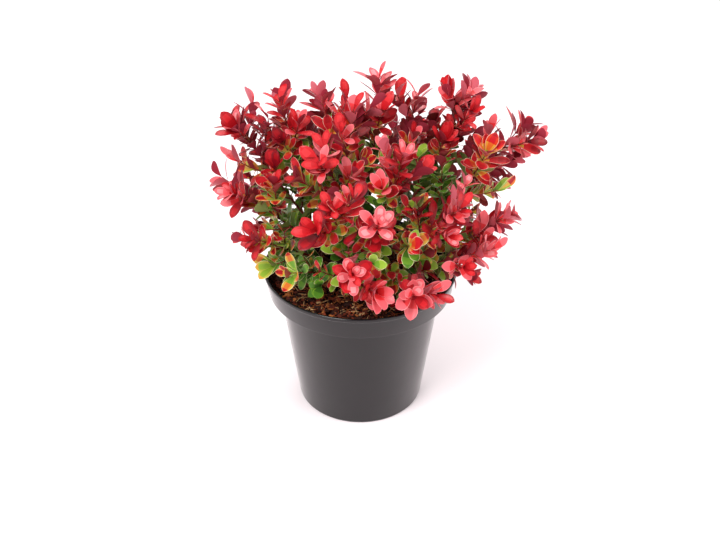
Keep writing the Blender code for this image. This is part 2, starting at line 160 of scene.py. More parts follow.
shoulder = pot_height - collar_depth
inner_shoulder = shoulder + wall_thickness
pot_profile = rounded_profile(
    [
        (0, floor_thickness, 0),
        (base_radius - wall_thickness, floor_thickness, 0.002),
        (wall_top_radius - wall_thickness, inner_shoulder, 0.0012),
        (collar_foot_radius - wall_thickness, inner_shoulder, 0.0010),
        (rim_radius - lip_thickness, pot_height - lip_depth, 0.0008),
        (rim_radius - lip_thickness, pot_height, lip_rounding),
        (rim_radius, pot_height, lip_rounding),
        (rim_radius - lip_edge_inset, pot_height - lip_edge_drop, 0.0006),
        (rim_radius - collar_edge_inset, pot_height - collar_edge_drop, 0.0006),
        (collar_foot_radius, shoulder, 0.0009),
        (wall_top_radius, shoulder, 0.0010),
        (base_radius, 0, 0.0016),
        (0, 0, 0),
    ]
)
pot_mesh = turned_mesh("nursery_pot", pot_profile, pot_steps)

pot_plastic, tree, shader, place = new_material("Moulded black polypropylene", pot_black, 0.10, pot_ior)
# Polypropylene straight from a polished mould: nearly black, wet-looking gloss, with slow waves in the wall
# that bend its reflections, and a faint grey bloom of rubbed marks round the collar.
rub = add_node(tree, "ShaderNodeTexNoise", {"Vector": place, "Scale": rub_scale, "Detail": 6.0})
rub.inputs["Roughness"].default_value = 0.62
marks = add_node(tree, "ShaderNodeMapRange", {"Value": rub.outputs["Fac"], "From Min": 0.45, "From Max": 0.8})
marks.inputs["To Min"].default_value = clean_roughness
marks.inputs["To Max"].default_value = rubbed_roughness
tree.links.new(marks.outputs["Result"], shader.inputs["Roughness"])
bloom = add_node(tree, "ShaderNodeMapRange", {"Value": rub.outputs["Fac"], "From Min": 0.5, "From Max": 0.85})
bloom.inputs["To Max"].default_value = 0.35
tint = add_node(tree, "ShaderNodeMix", {"Factor": bloom.outputs["Result"]}, data_type="RGBA")
tint.inputs[6].default_value = hex_colour(pot_black)
tint.inputs[7].default_value = hex_colour(pot_scuff)
tree.links.new(tint.outputs[2], shader.inputs["Base Color"])
waves = add_node(tree, "ShaderNodeTexNoise", {"Vector": place, "Scale": wave_scale, "Detail": 2.0})
grain = add_node(tree, "ShaderNodeTexNoise", {"Vector": place, "Scale": pot_grain_scale, "Detail": 2.0})
relief = add_node(tree, "ShaderNodeMath", {0: grain.outputs["Fac"], 1: 0.02}, operation="MULTIPLY")
relief = add_node(tree, "ShaderNodeMath", {0: waves.outputs["Fac"], 1: relief.outputs[0]}, operation="ADD")
bump = add_node(tree, "ShaderNodeBump", {"Height": relief.outputs[0], "Strength": 0.35, "Distance": 0.0006})
tree.links.new(bump.outputs["Normal"], shader.inputs["Normal"])

pot = link_mesh("nursery_pot", pot_mesh, [pot_plastic])
cutter_mesh = bpy.data.meshes.new("drain_holes")
cutter_shape = bmesh.new()
for i in range(drain_holes):
    angle = tau * (i + 0.5) / drain_holes
    centre = Matrix.Translation((drain_ring_radius * cos(angle), drain_ring_radius * sin(angle), 0))
    bmesh.ops.create_cone(
        cutter_shape,
        cap_ends=True,
        segments=drain_sides,
        radius1=drain_radius,
        radius2=drain_radius,
        depth=floor_thickness * 4,
        matrix=centre,
    )
cutter_shape.to_mesh(cutter_mesh)
cutter_shape.free()
cutter = link_mesh("drain_holes", cutter_mesh, [])
cut = pot.modifiers.new("Drain holes", "BOOLEAN")
cut.object = cutter
cut.solver = "EXACT"
bpy.context.view_layer.update()
pot.data = bpy.data.meshes.new_from_object(pot.evaluated_get(bpy.context.evaluated_depsgraph_get()))
pot.modifiers.clear()
bpy.data.objects.remove(cutter)
pot.data.shade_smooth()
pot.data.set_sharp_from_angle(angle=pot_sharp_angle)
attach(pot, "root")
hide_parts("pot")

# Peat compost
# Damp dark peat that fills the pot to a finger's width under the rim, a little mounded round the plant,
# crumbly, with red-brown composted bark, pale wood fibres and tan flecks lying on it.

mound_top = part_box("compost")[1].z
edge_drop = 0.006
surface_radius = rim_radius - wall_thickness
edge_radius = 0.0898
rings, spokes = 90, 300
# How far the surface is let down for its crumbs, and the most that a crumb adds to it
settled, crumb_limit = 0.0012, 0.0010
centre_drop, edge_depth = 0.001, 0.003
# The rings of faces next to the wall where the crumbs die away
smooth_rings = 4
pot_clearance = 0.0006
# Height and width of the lumps, the crumbs and the grains
crumb_sizes = ((0.0030, 0.010), (0.0016, 0.0045), (0.0009, 0.0021))
# How much of the noise goes into gaps, and where its first layer is cut
crumb_level, crumb_layer = 0.75, 0.3
# Nearly black: the peat's own dark tone, and the painted shade in its gaps
peat_dark_and_gap_shade = "#1E0C08"
compost_brown = "#43190F"
compost_tan = "#8A5A3C"
# Repeats to the metre: clods 4 mm across and flecks of wood fibre 2.4 mm apart
clod_scale, fleck_scale = 260.0, 420.0


def compost_height(x, y):
    """The surface without its crumbs, at a place in the pot."""
    return mound_top - edge_drop * (x * x + y * y) / surface_radius**2


def crumbs(x, y):
    """How far a crumb stands out of the surface or a gap goes in."""
    return sum(
        high * (abs(noise.noise(Vector((x, y, crumb_layer + n)) / size)) * 2 - crumb_level)
        for n, (high, size) in enumerate(crumb_sizes)
    )


vertices = [(0, 0, compost_height(0, 0) - centre_drop)]
for ring in range(1, rings + 1):
    radius = edge_radius * ring / rings
    fade = min(1.0, (rings - ring) / smooth_rings)
    for spoke in range(spokes):
        x, y = radius * cos(tau * spoke / spokes), radius * sin(tau * spoke / spokes)
        vertices.append((x, y, compost_height(x, y) - settled + min(crumbs(x, y), crumb_limit) * fade))
below = [
    (edge_radius, compost_height(edge_radius, 0) - edge_depth),
    (collar_foot_radius - wall_thickness - pot_clearance, inner_shoulder + pot_clearance),
    (wall_top_radius - wall_thickness - pot_clearance * 2, inner_shoulder + pot_clearance),
    (base_radius - wall_thickness - pot_clearance, floor_thickness + pot_clearance),
]
for radius, height in below:
    angles = [tau * k / spokes for k in range(spokes)]
    vertices += [(radius * cos(angle), radius * sin(angle), height) for angle in angles]
faces = [(0, 1 + k, 1 + (k + 1) % spokes) for k in range(spokes)]
for ring in range(rings + len(below) - 1):
    inner, outer = 1 + ring * spokes, 1 + (ring + 1) * spokes
    faces += [
        (inner + k, outer + k, outer + (k + 1) % spokes, inner + (k + 1) % spokes) for k in range(spokes)
    ]
last = 1 + (rings + len(below) - 1) * spokes
faces.append(tuple(last + k for k in reversed(range(spokes))))
compost_mesh = bpy.data.meshes.new("peat_compost")
compost_mesh.from_pydata(vertices, [], faces)
compost_mesh.shade_smooth()

peat, tree, shader, place = new_material("Damp peat", peat_dark_and_gap_shade, 0.9, 1.35)
# Damp peat in nearly black and red-brown tones, with threads of tan wood fibre. The tones follow the noise
# that raises its bump, so the gaps take the nearly black end: painted shade in the gaps, over the peat's own
# dark tone. It is dull, with a little shine where it is wet.
shader.inputs["Specular IOR Level"].default_value = 0.3
clods = add_node(tree, "ShaderNodeTexNoise", {"Vector": place, "Scale": clod_scale, "Detail": 6.0})
# Where the clods noise is low and the bump sinks, the ramp gives the nearly black: painted shade in the gaps
tones = add_node(tree, "ShaderNodeValToRGB", {"Fac": clods.outputs["Fac"]})
tones.color_ramp.elements[0].position = 0.38
tones.color_ramp.elements[0].color = hex_colour(peat_dark_and_gap_shade)
tones.color_ramp.elements[1].position = 0.62
tones.color_ramp.elements[1].color = hex_colour(compost_brown)
threads = add_node(tree, "ShaderNodeTexVoronoi", {"Vector": place, "Scale": fleck_scale})
flecks = add_node(tree, "ShaderNodeMapRange", {"Value": threads.outputs["Distance"], "From Min": 0.10})
flecks.inputs["From Max"].default_value = 0.16
flecks.inputs["To Min"].default_value = 0.55
flecks.inputs["To Max"].default_value = 0.0
mixed = add_node(tree, "ShaderNodeMix", {"Factor": flecks.outputs["Result"]}, data_type="RGBA")
tree.links.new(tones.outputs["Color"], mixed.inputs[6])
mixed.inputs[7].default_value = hex_colour(compost_tan)
tree.links.new(mixed.outputs[2], shader.inputs["Base Color"])
bump = add_node(tree, "ShaderNodeBump", {"Height": clods.outputs["Fac"], "Strength": 0.9, "Distance": 0.0012})
tree.links.new(bump.outputs["Normal"], shader.inputs["Normal"])
compost = link_mesh("peat_compost", compost_mesh, [peat])
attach(compost, "root")
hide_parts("compost")

# Bark chips and fibres
# Chips of composted bark up to 7 mm long and shreds of wood fibre, mixed into the peat by its maker, lie
# loose on its surface and half sunk in it.

chip_count = 3200
chip_lengths = (0.0018, 0.0070)
fibre_count = 700
fibre_lengths = (0.004, 0.013)
chip_length_spread = (0.4, 1)
chip_widths, chip_depths = (0.3, 0.7), (0.10, 0.25)
chip_corner_spread = (0.55, 1.1)
chip_tilt = 0.5
# How far under the surface a chip's middle lies
chip_sinks = (-0.0008, 0.0012)
fibre_halves = (0.00012, 0.00032)
fibre_sink, fibre_arch = 0.0002, 0.0006
fibre_bends = (-1.2, 1.2)
fibre_steps = 4
chip_edge_room, fibre_edge_room = 0.006, 0.012
# Wet bark, bark, split bark, wood and pale fibre, and how often a chip or a fibre is of each
litter_colours = ("#32140D", "#5C2314", "#85361C", "#A9602F", "#CFA272")
chip_mix, fibre_mix = (6, 7, 5, 3, 1), (0, 2, 3, 4, 3)
# Grain 0.7 mm across
chip_grain_scale = 1400.0
chance = Random(71)


class Pile:
    """Vertices, faces and the material slot of each face, gathered for one joined mesh."""

    def __init__(self):
        self.vertices, self.faces, self.slots = [], [], []

    def add(self, vertices, faces, slot):
        first = len(self.vertices)
        self.vertices += [tuple(v) for v in vertices]
        self.faces += [tuple(first + i for i in face) for face in faces]
        self.slots += [slot] * len(faces)

    def mesh(self, name):
        made = bpy.data.meshes.new(name)
        made.from_pydata(self.vertices, [], self.faces)
        made.polygons.foreach_set("material_index", self.slots)
        made.update()
        return made


box_faces = [(0, 3, 2, 1), (4, 5, 6, 7), (0, 1, 5, 4), (1, 2, 6, 5), (2, 3, 7, 6), (3, 0, 4, 7)]


def scatter_spot(room):
    """A place on the peat, drawn evenly over it, at least that far from its edge."""
    radius = (edge_radius - room) * sqrt(chance.random())
    angle = chance.uniform(0, tau)
    return radius * cos(angle), radius * sin(angle)


litter = Pile()
for _ in range(chip_count):
    x, y = scatter_spot(chip_edge_room)
    length = chance.uniform(*chip_lengths) * chance.uniform(*chip_length_spread)
    width, depth = length * chance.uniform(*chip_widths), length * chance.uniform(*chip_depths)
    turn = Matrix.Rotation(chance.uniform(0, tau), 3, "Z")
    turn = turn @ Matrix.Rotation(chance.gauss(0, chip_tilt), 3, "X")
    corners = [(sx, sy, sz) for sz in (-1, 1) for sx, sy in ((-1, -1), (1, -1), (1, 1), (-1, 1))]
    jitter = [chance.uniform(*chip_corner_spread) for _ in corners]
    centre = Vector((x, y, compost_height(x, y) - chance.uniform(*chip_sinks)))
    points = [
        centre + turn @ Vector((cx * length / 2 * j, cy * width / 2 * j, cz * depth / 2))
        for (cx, cy, cz), j in zip(corners, jitter)
    ]
    litter.add(points, box_faces, chance.choices(range(5), chip_mix)[0])
for _ in range(fibre_count):
    x, y = scatter_spot(fibre_edge_room)
    length = chance.uniform(*fibre_lengths)
    angle, bend = chance.uniform(0, tau), chance.uniform(*fibre_bends)
    points = []
    for i in range(fibre_steps + 1):
        points.append((x, y, compost_height(x, y) - fibre_sink + fibre_arch * sin(pi * i / fibre_steps)))
        x, y = x + cos(angle) * length / fibre_steps, y + sin(angle) * length / fibre_steps
        angle += bend / fibre_steps
    half = chance.uniform(*fibre_halves)
    section = [(-half, -half), (half, -half), (half, half), (-half, half)]
    side = Vector((-sin(angle), cos(angle), 0))
    tube = [Vector(p) + side * a + Vector((0, 0, b)) for p in points for a, b in section]
    sides = [
        (i * 4 + k, i * 4 + (k + 1) % 4, i * 4 + 4 + (k + 1) % 4, i * 4 + 4 + k)
        for i in range(fibre_steps)
        for k in range(4)
    ]
    ends = [(3, 2, 1, 0), (16, 17, 18, 19)]
    litter.add(tube, sides + ends, chance.choices(range(5), fibre_mix)[0])

litter_materials = []
for number, colour in enumerate(litter_colours):
    # Composted bark and wood: dull, rough along its grain
    made, tree, shader, place = new_material(f"Composted bark {number + 1}", colour, 0.85, 1.4)
    grain = add_node(tree, "ShaderNodeTexNoise", {"Vector": place, "Scale": chip_grain_scale, "Detail": 3.0})
    bump = add_node(tree, "ShaderNodeBump", {"Height": grain.outputs["Fac"], "Strength": 0.6})
    bump.inputs["Distance"].default_value = 0.0004
    tree.links.new(bump.outputs["Normal"], shader.inputs["Normal"])
    litter_materials.append(made)
chips = link_mesh("bark_chips", litter.mesh("bark_chips"), litter_materials)
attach(chips, "root")

# Root crown and boughs
# Young barberry wood: a low knobbly foot at the compost's level that all the shoots rise from, and slender
# boughs, ridged along their length, in dull red-brown bark.

crown_low, crown_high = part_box("root_crown")
crown_foot = crown_low.z
dome_radius = 0.015
dome_height = 0.0104
dome_neck = 0.0056
flare_radius = crown_high.x
# The flare from its start on the dome's foot to its edge: heights, and how much wider its middle is
flare_heights, flare_spread = (0.0026, 0.0015, 0.0006), 1.12
hub_height = 0.0048
hub = Vector((0, 0, crown_foot + hub_height))
bough_base_radius = 0.0019
bough_tip_radius = 0.0014
bough_lift = 0.00135
bend_place = 0.45
bough_points = 16
bough_sides = 10
bough_ridge = 0.05
# Unevenness 2.5 mm long in every limb's section
limb_noise_scale = 400
# A direction that no limb points along
slant = Vector((0.31, 0.17, 0.93))
tip_leaf_reach = 0.016
crown_steps = 96
# Height and repeats to the metre of the crown's knobs and its cracks
crown_knobs, crown_cracks = (0.0014, 160), (0.0006, 520)
# They die away below this height, and count from at least this far off the crown's middle
knob_fade_height, knob_core = 0.002, 0.004
bark_groove, bark_ridge = "#3B1812", "#5E2A1C"
# Patches 2.4 mm across
bark_scale = 420.0

# Each leading shoot: azimuth and lean in degrees, and reach in metres to the tip of its last leaf.
# They stand in three rings on the root crown. Azimuth 0 is +X and 90 is away from the viewer.
rings_of_shoots = {
    "inner": {
        "middle": (180, 2, 0.182),
        "top": (70, 16, 0.199),
        "top_right": (39, 23, 0.190),
        "front_upper": (-51, 23, 0.168),
        "left_middle": (-143, 16, 0.157),
        "back_top_left": (124, 23, 0.186),
    },
    "middle": {
        "right_top": (18, 31, 0.214),
        "far_right": (3, 45, 0.230),
        "front_right": (-43, 47, 0.170),
        "front_middle": (-80, 42, 0.146),
        "front_left": (-108, 36, 0.154),
        "left_side": (190, 49, 0.184),
        "left_top": (171, 37, 0.211),
        "left_upper": (158, 26, 0.202),
        "back_left": (130, 49, 0.172),
        "back_middle": (95, 44, 0.172),
        "back_right": (58, 49, 0.172),
    },
    "outer": {
        "right_side": (17, 57, 0.174),
        "right_low": (-12, 62, 0.174),
        "front_right_low": (-27, 67, 0.158),
        "front_right_rim": (-52, 77, 0.126),
        "front_low": (-94, 61, 0.127),
        "front_left_low": (-136, 70, 0.108),
        "left_low": (-152, 60, 0.140),
        "back_left_low": (152, 67, 0.146),
        "back_low": (97, 71, 0.140),
        "back_right_low": (46, 69, 0.146),
    },
}
# Degrees from the top of the crown's dome to each ring
ring_angles = {"inner": 24, "middle": 50, "outer": 76}
# The share of a shoot's line that is its bough
bough_shares = {"inner": 0.38, "middle": 0.32, "outer": 0.25}


def arc(line, t):
    """The point a share of the way along a shoot's line, which has a start, a bend and an end."""
    start, bend, end = line
    return start * (1 - t) ** 2 + bend * 2 * t * (1 - t) + end * t**2


def arc_direction(line, t):
    """The way that a shoot's line runs at that share."""
    start, bend, end = line
    return ((bend - start) * (1 - t) + (end - bend) * t).normalized()


lines, ring_of = {}, {}
for ring, shoots in rings_of_shoots.items():
    order = sorted(shoots, key=lambda name: shoots[name][0] % 360)
    step = tau / len(order)
    turn = sum(radians(shoots[name][0] % 360) - i * step for i, name in enumerate(order)) / len(order)
    rise = radians(ring_angles[ring])
    for i, name in enumerate(order):
        azimuth, lean, reach = shoots[name]
        outward = Vector((cos(turn + i * step), sin(turn + i * step), 0))
        normal = outward * sin(rise) + Vector((0, 0, cos(rise)))
        height = crown_foot + dome_neck + dome_height * cos(rise)
        start = outward * dome_radius * sin(rise) + Vector((0, 0, height)) + normal * bough_lift
        a, tilt = radians(azimuth), radians(lean)
        aim = Vector((cos(a) * sin(tilt), sin(a) * sin(tilt), cos(tilt)))
        end = hub + aim * (reach - tip_leaf_reach)
        bend = start + (normal + aim).normalized() * (end - start).length * bend_place
        lines[name] = (start, bend, end)
        ring_of[name] = ring


def perpendicular(axis, angle):
    """A unit vector square to the axis, turned round it by an angle."""
    base = axis.cross(slant).normalized()
    return Quaternion(axis, angle) @ base


def tapered(first, last, count):
    """Radii that go evenly from the first to the last."""
    return [first + (last - first) * i / (count - 1) for i in range(count)]


def add_tube(pile, points, radii, sides, slot, ridge=0.0):
    """A tapering limb along points, closed at both ends. A ridge stands out along every other side."""
    vertices = []
    across = perpendicular((points[1] - points[0]).normalized(), 0)
    for i, (point, radius) in enumerate(zip(points, radii)):
        direction = (points[min(i + 1, len(points) - 1)] - points[max(i - 1, 0)]).normalized()
        across = (across - direction * across.dot(direction)).normalized()
        upward = direction.cross(across)
        for k in range(sides):
            uneven = noise.noise(point * limb_noise_scale + Vector((k, 0, 0)))
            wave = 1 + ridge * (1 if k % 2 else -1) + ridge * uneven
            angle = tau * k / sides
            vertices.append(point + (across * cos(angle) + upward * sin(angle)) * radius * wave)
    faces = [
        (i * sides + k, i * sides + (k + 1) % sides, (i + 1) * sides + (k + 1) % sides, (i + 1) * sides + k)
        for i in range(len(points) - 1)
        for k in range(sides)
    ]
    end = (len(points) - 1) * sides
    faces += [tuple(reversed(range(sides))), tuple(end + k for k in range(sides))]
    pile.add(vertices, faces, slot)


bark, tree, shader, place = new_material("Ridged barberry bark", bark_groove, 0.72, 1.45)
# Young bark: dull red-brown, in darker and lighter patches.
patches = add_node(tree, "ShaderNodeTexNoise", {"Vector": place, "Scale": bark_scale, "Detail": 4.0})
tones = add_node(tree, "ShaderNodeValToRGB", {"Fac": patches.outputs["Fac"]})
tones.color_ramp.elements[0].position = 0.35
tones.color_ramp.elements[0].color = hex_colour(bark_groove)
tones.color_ramp.elements[1].position = 0.70
tones.color_ramp.elements[1].color = hex_colour(bark_ridge)
tree.links.new(tones.outputs["Color"], shader.inputs["Base Color"])
bump = add_node(tree, "ShaderNodeBump", {"Height": patches.outputs["Fac"], "Strength": 0.8})
bump.inputs["Distance"].default_value = 0.0005
tree.links.new(bump.outputs["Normal"], shader.inputs["Normal"])

dome_angles = [radians(a) for a in range(0, 91, 6)]
crown_profile = [(dome_radius * sin(a), dome_neck + dome_height * cos(a)) for a in dome_angles]
crown_profile += [(dome_radius, flare_heights[0]), (dome_radius * flare_spread, flare_heights[1])]
crown_profile += [(flare_radius, flare_heights[2]), (flare_radius, 0), (0, 0)]
crown_mesh = turned_mesh("root_crown_bark", crown_profile, crown_steps)
for vertex in crown_mesh.vertices:
    knob = sum(noise.noise(vertex.co * scale) * high for high, scale in (crown_knobs, crown_cracks))
    low = min(1.0, vertex.co.z / knob_fade_height)
    vertex.co *= 1 + min(knob, 0.0) * low / max(vertex.co.length, knob_core)
    vertex.co.z += crown_foot
crown_mesh.shade_smooth()
crown = link_mesh("root_crown_bark", crown_mesh, [bark])
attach(crown, "root")
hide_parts("root_crown")

bough_pile = Pile()
for name, line in lines.items():
    points = [arc(line, bough_shares[ring_of[name]] * i / (bough_points - 1)) for i in range(bough_points)]
    radii = tapered(bough_base_radius, bough_tip_radius, bough_points)
    add_tube(bough_pile, points, radii, bough_sides, 0, bough_ridge)
boughs = link_mesh("bough_bark", bough_pile.mesh("bough_bark"), [bark])
boughs.data.shade_smooth()
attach(boughs, "root")
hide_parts(*(f"bough_{name}" for name in lines))

# Twigs and their growth
# Each bough goes on as a leading twig, and side twigs leave it at a steep angle and curve up. At every joint
# stands a rosette of leaves, over one thin straight thorn.

twig_tip_radius = 0.00045
side_twig_radius = 0.0009
joint_spacing = 0.0078
side_twig_lengths = (0.026, 0.052)
side_twig_spread = radians(46)
side_twig_lift = 0.5
side_twig_every = 2
extra_side_twigs = 0.3
side_twig_steps = 5
# A side twig's length at its shoot's foot, as a share, and how much of that share is lost by the tip
side_twig_share, side_twig_loss = 1.15, 0.45
# How far back and on along the shoot a side twig's own leaves count as standing
side_twig_back, side_twig_on = 0.04, 0.20
# The last joints of a shoot, which have no side twig
bare_joints = 2
least_joints = 2
stem_points = 14
twig_sides = 6
twig_ridge = 0.06
golden_angle = radians(137.5)
twig_colours = ("#6E2018", "#8A3226")
# Grooves 1.1 mm apart
twig_grain_scale = 900.0
thorn_lengths = (0.006, 0.0115)
# Shares of a thorn's length, and its radius there
thorn_shape = ((0, 0.00042), (0.5, 0.000252), (1, 0.00006))
thorn_lean = 0.25
# A shoot's twigs and leaves may be this much nearer to another shoot's line than to their own
cell_slack = 0.006
# How far past its shoot's reach a leaf's tip may go
reach_slack = 0.0015
# The ring along the pot's wall where a leaf's middle and tip stay above the rim, and how far above. Outside
# the ring they may be as far below the rim.
rim_clearance, edge_clearance = 0.002, 0.003
rim_room = 0.001
# How far above the compost a shoot's twigs and leaves stay, where it can be seen beneath them
compost_room = {"front_left_low": 0.016, "left_low": 0.012, "front_left": 0.010}
least_room = 0.0015

# Each shoot's line as points, run on past its end, to tell whose space a place is in
line_steps = 60
line_overrun = 1.12
line_shares = [line_overrun * i / line_steps for i in range(line_steps + 1)]
line_points = {name: [arc(line, t) for t in line_shares] for name, line in lines.items()}


def tree_of(points):
    made = KDTree(len(points))
    for i, point in enumerate(points):
        made.insert(point, i)
    made.balance()
    return made


own_tree = {name: tree_of(points) for name, points in line_points.items()}
other_tree = {
    name: tree_of([point for other, points in line_points.items() if other != name for point in points])
    for name in lines
}
reaches = {name: shoot[2] for shoots in rings_of_shoots.values() for name, shoot in shoots.items()}
grown = {"twigs": Pile(), "thorns": Pile()}
sprays = {name: [] for name in lines}


def in_space(name, point):
    """True if a point keeps to its shoot's own space and reach, clear of the pot and the peat."""
    if (point - hub).length > reaches[name] + reach_slack:
        return False
    radius = sqrt(point.x**2 + point.y**2)
    if radius < surface_radius - edge_clearance:
        lowest = compost_height(point.x, point.y) + compost_room.get(name, least_room)
    elif radius < rim_radius + rim_clearance:
        lowest = pot_height + rim_room
    else:
        lowest = pot_height - rim_room
    if point.z < lowest:
        return False
    return own_tree[name].find(point)[2] < other_tree[name].find(point)[2] + cell_slack


def grow_twig(name, points, radii, stretch, side):
    """One twig with a spray at each joint, over a thorn where there is room, but no thorn at its tip.

    The stretch is the two shares of its shoot that it counts as lying between. A side twig's root is bare.
    """
    add_tube(grown["twigs"], points, radii, twig_sides, chance.choice((0, 1)), twig_ridge)
    lengths = [(b - a).length for a, b in zip(points, points[1:])]
    total = sum(lengths)
    count = max(least_joints, round(total / joint_spacing))
    turn = chance.uniform(0, tau)
    for joint in range(1 if side else 0, count + 1):
        distance = total * joint / count
        i = 0
        while i < len(lengths) - 1 and distance > lengths[i]:
            distance -= lengths[i]
            i += 1
        axis = (points[i + 1] - points[i]).normalized()
        at = points[i] + axis * min(distance, lengths[i])
        turn += golden_angle
        along_shoot = stretch[0] + (stretch[1] - stretch[0]) * joint / count
        sprays[name].append((at, axis, turn, along_shoot, joint == count))
        if joint < count:
            thorn = (axis * thorn_lean + perpendicular(axis, turn + pi)).normalized()
            length = chance.uniform(*thorn_lengths)
            if in_space(name, at + thorn * length):
                shaft = [at + thorn * length * share for share, _ in thorn_shape]
                add_tube(grown["thorns"], shaft, [radius for _, radius in thorn_shape], 4, 0)


for name, line in lines.items():
    first = bough_shares[ring_of[name]]
    stem = [arc(line, first + (1 - first) * i / (stem_points - 1)) for i in range(stem_points)]
    grow_twig(name, stem, tapered(bough_tip_radius, twig_tip_radius, stem_points), (first, 1.0), False)
    joints = round(sum((b - a).length for a, b in zip(stem, stem[1:])) / joint_spacing)
    turn = chance.uniform(0, tau)
    for joint in range(1, joints - bare_joints):
        if joint % side_twig_every and chance.random() > extra_side_twigs:
            continue
        t = first + (1 - first) * joint / joints
        root, axis = arc(line, t), arc_direction(line, t)
        turn += golden_angle
        direction = axis * cos(side_twig_spread) + perpendicular(axis, turn) * sin(side_twig_spread)
        length = chance.uniform(*side_twig_lengths) * (side_twig_share - side_twig_loss * t)
        points = [root]
        for _ in range(side_twig_steps):
            points.append(points[-1] + direction * length / side_twig_steps)
            direction = (direction + Vector((0, 0, side_twig_lift / side_twig_steps))).normalized()
        while len(points) > 2 and not in_space(name, points[-1]):
            points.pop()
        if len(points) > 2:
            radii = tapered(side_twig_radius, twig_tip_radius, len(points))
            stretch = (t - side_twig_back, min(1.0, t + side_twig_on))
            grow_twig(name, points, radii, stretch, True)

twig_materials = []
for number, colour in enumerate(twig_colours):
    # Green wood of the year under a thin wine-red skin: satin, with fine lengthwise grooves
    made, tree, shader, place = new_material(f"Wine-red twig skin {number + 1}", colour, 0.5, 1.45)
    grain = add_node(tree, "ShaderNodeTexNoise", {"Vector": place, "Scale": twig_grain_scale, "Detail": 3.0})
    bump = add_node(tree, "ShaderNodeBump", {"Height": grain.outputs["Fac"], "Strength": 0.5})
    bump.inputs["Distance"].default_value = 0.0003
    tree.links.new(bump.outputs["Normal"], shader.inputs["Normal"])
    twig_materials.append(made)
twigs = link_mesh("twig_bark", grown["twigs"].mesh("twig_bark"), twig_materials)
twigs.data.shade_smooth()
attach(twigs, "root")

# Thorns
# One under each spray, straight and needle-sharp, of hard wood that is paler and smoother than the twig. They
# grew out with the twigs above.

thorn_colour = "#9A5A3E"
# Streaks 0.7 mm across
thorn_grain_scale = 1500.0
# Hard horn-like wood: it takes a dull shine
horn, tree, shader, place = new_material("Horn-like thorn", thorn_colour, 0.35, 1.5)
grain = add_node(tree, "ShaderNodeTexNoise", {"Vector": place, "Scale": thorn_grain_scale})
bump = add_node(tree, "ShaderNodeBump", {"Height": grain.outputs["Fac"], "Strength": 0.2})
bump.inputs["Distance"].default_value = 0.0002
tree.links.new(bump.outputs["Normal"], shader.inputs["Normal"])
thorns = link_mesh("thorns", grown["thorns"].mesh("thorns"), [horn])
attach(thorns, "root")

# Leaves
# Small obovate leaves in rosettes, upright at the shoots' ends and spreading lower down. New ones are coral
# and scarlet, older ones run from a yellow-green base through orange to a red tip, with a thin pale margin,
# and those in the shade inside are green.

leaf_lengths = (0.0160, 0.0250)
leaf_shape_rows = (0.0, 0.12, 0.26, 0.42, 0.58, 0.73, 0.86, 0.955, 1.0)
leaf_shape_columns = (-1.0, -0.91, -0.5, 0.0, 0.5, 0.91, 1.0)
# The outline's wedge, its rounded end and how full that is, as powers, and the greatest value that they give
wedge_power, end_power, end_fullness, leaf_peak = 1.2, 2.2, 0.75, 0.414
leaf_base_share = 0.05
leaf_width_shares = (0.46, 0.60)
leaf_size_spread = (0.72, 1.08)
leaf_folds, leaf_droops = (0.06, 0.26), (-0.08, 0.22)
leaf_puff, leaf_arch = 0.10, 0.10
leaf_depth = 0.00028
leaf_sharp_angle = radians(70)
# The place along a leaf that counts as its middle, and how near another leaf's may be
leaf_middle = 0.62
leaf_gap = 0.0040
leaves_at_joint, leaves_at_tip = (3, 5), (5, 8)
# Degrees between a leaf and its twig, at a joint and at the twig's tip, and how many fewer joint leaves have
# at their shoot's tip than at its foot
joint_spreads, tip_spreads, upright_to_tip = (38, 78), (14, 40), 14
turn_scatter = 0.35
# From this far along their shoot on, leaves are young, and longer and slimmer
young_from = 0.8
young_length, young_width = 1.08, 0.86
along_scatter = 0.05
# The share of a spray's leaves that are surely of the spray's own kind
same_kind = 0.75
# Veins 1.4 mm apart
vein_scale = 700.0

leaf_colours = {
    "pink": "#EE8F92",
    "coral": "#E25F66",
    "bright_red": "#D62F34",
    "scarlet": "#C01C24",
    "red": "#A5141D",
    "crimson": "#85101C",
    "wine": "#5E0E1A",
    "flame": "#CB3C1E",
    "orange": "#CF6C2A",
    "amber": "#CFA13E",
    "yellow_green": "#B3B944",
    "lime": "#8FB038",
    "green": "#6A9A2C",
    "leaf_green": "#4E7D24",
    "deep_green": "#38601E",
    "cream": "#E6DDA4",
    "blush": "#E8B09C",
    "dusty_rose": "#CC6470",
    "dusty_wine": "#9E3444",
    "grey_green": "#8A9A58",
}
# What each kind of leaf has: along its middle from base to tip, the same beside its middle, its margin, and
# its underside
leaf_kinds = {
    "young": "red bright_red coral coral  red bright_red coral coral  pink dusty_rose",
    "bright": "scarlet coral pink coral  bright_red coral coral coral  pink dusty_rose",
    "scarlet": "red scarlet bright_red scarlet  red scarlet scarlet scarlet  red dusty_wine",
    "red": "crimson red scarlet red  crimson red red red  crimson dusty_wine",
    "dark": "wine crimson red crimson  wine crimson crimson crimson  wine wine",
    "sunset": "lime orange scarlet red  yellow_green amber flame scarlet  blush dusty_wine",
    "ember": "yellow_green flame scarlet red  amber orange scarlet red  blush dusty_wine",
    "kindled": "amber scarlet red crimson  flame scarlet scarlet red  blush dusty_wine",
    "gold": "green lime lime amber  lime yellow_green yellow_green amber  cream grey_green",
    "lime": "leaf_green green lime lime  green green lime lime  cream grey_green",
    "green": "deep_green leaf_green green leaf_green  deep_green leaf_green green leaf_green"
    "  cream grey_green",
    "deep": "deep_green deep_green leaf_green leaf_green  deep_green deep_green leaf_green leaf_green"
    "  lime grey_green",
    "tinged": "lime green orange red  lime lime amber flame  cream grey_green",
    "blotched": "yellow_green amber red crimson  lime lime orange flame  cream dusty_wine",
}
